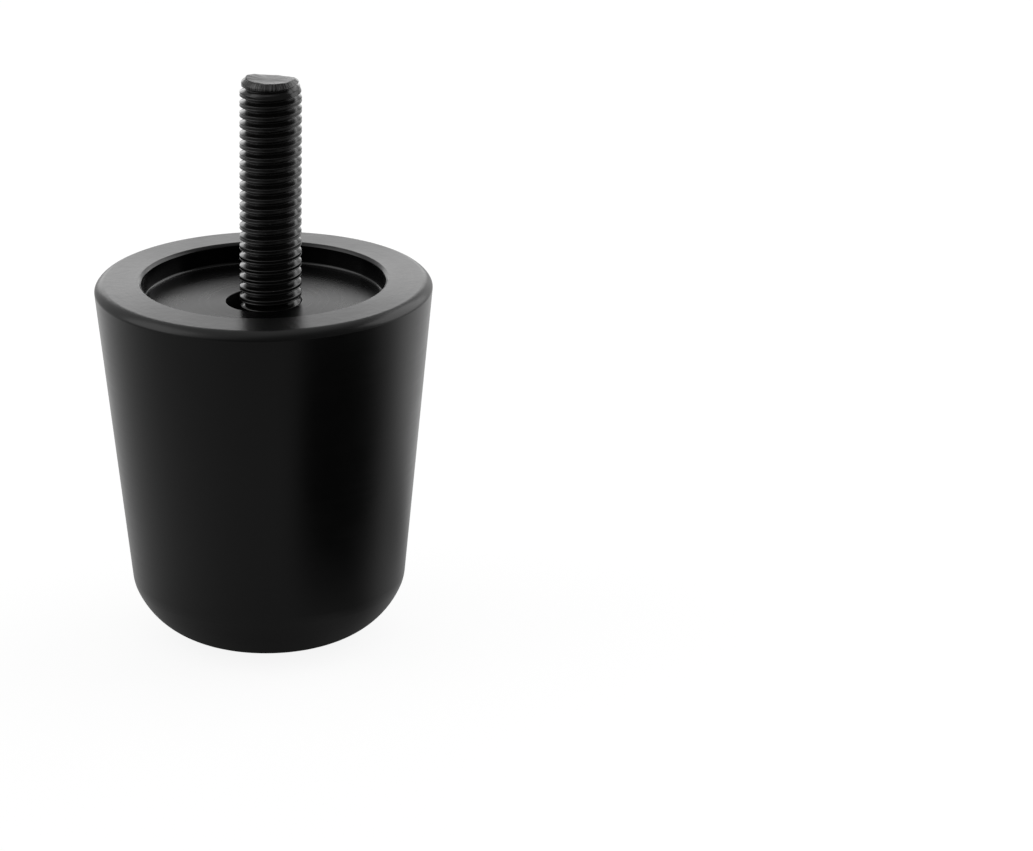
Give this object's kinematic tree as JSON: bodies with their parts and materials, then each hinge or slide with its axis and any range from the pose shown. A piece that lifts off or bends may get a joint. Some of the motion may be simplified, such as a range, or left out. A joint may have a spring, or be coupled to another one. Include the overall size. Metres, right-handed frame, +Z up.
{
  "type": "bar end weight",
  "caption": "Tapered round steel weight with a domed end, a shallow bar recess in its wide face, and a long countersunk socket screw standing through its middle.",
  "frame": {"origin": "centre of the domed end, on the surface that the weight stands on", "axes": "+Z up the weight's axis, from the domed outer end towards the bar. The loose screw leans about 1 degree towards +X"},
  "size_m": [0.032, 0.032, 0.0551],
  "materials": {
    "weight_coating": "satin black",
    "screw_oxide": "black oxide"
  },
  "bodies": {
    "root": {"turned_weight": "weight_coating", "countersunk_screw": "screw_oxide"}
  },
  "joints": []
}
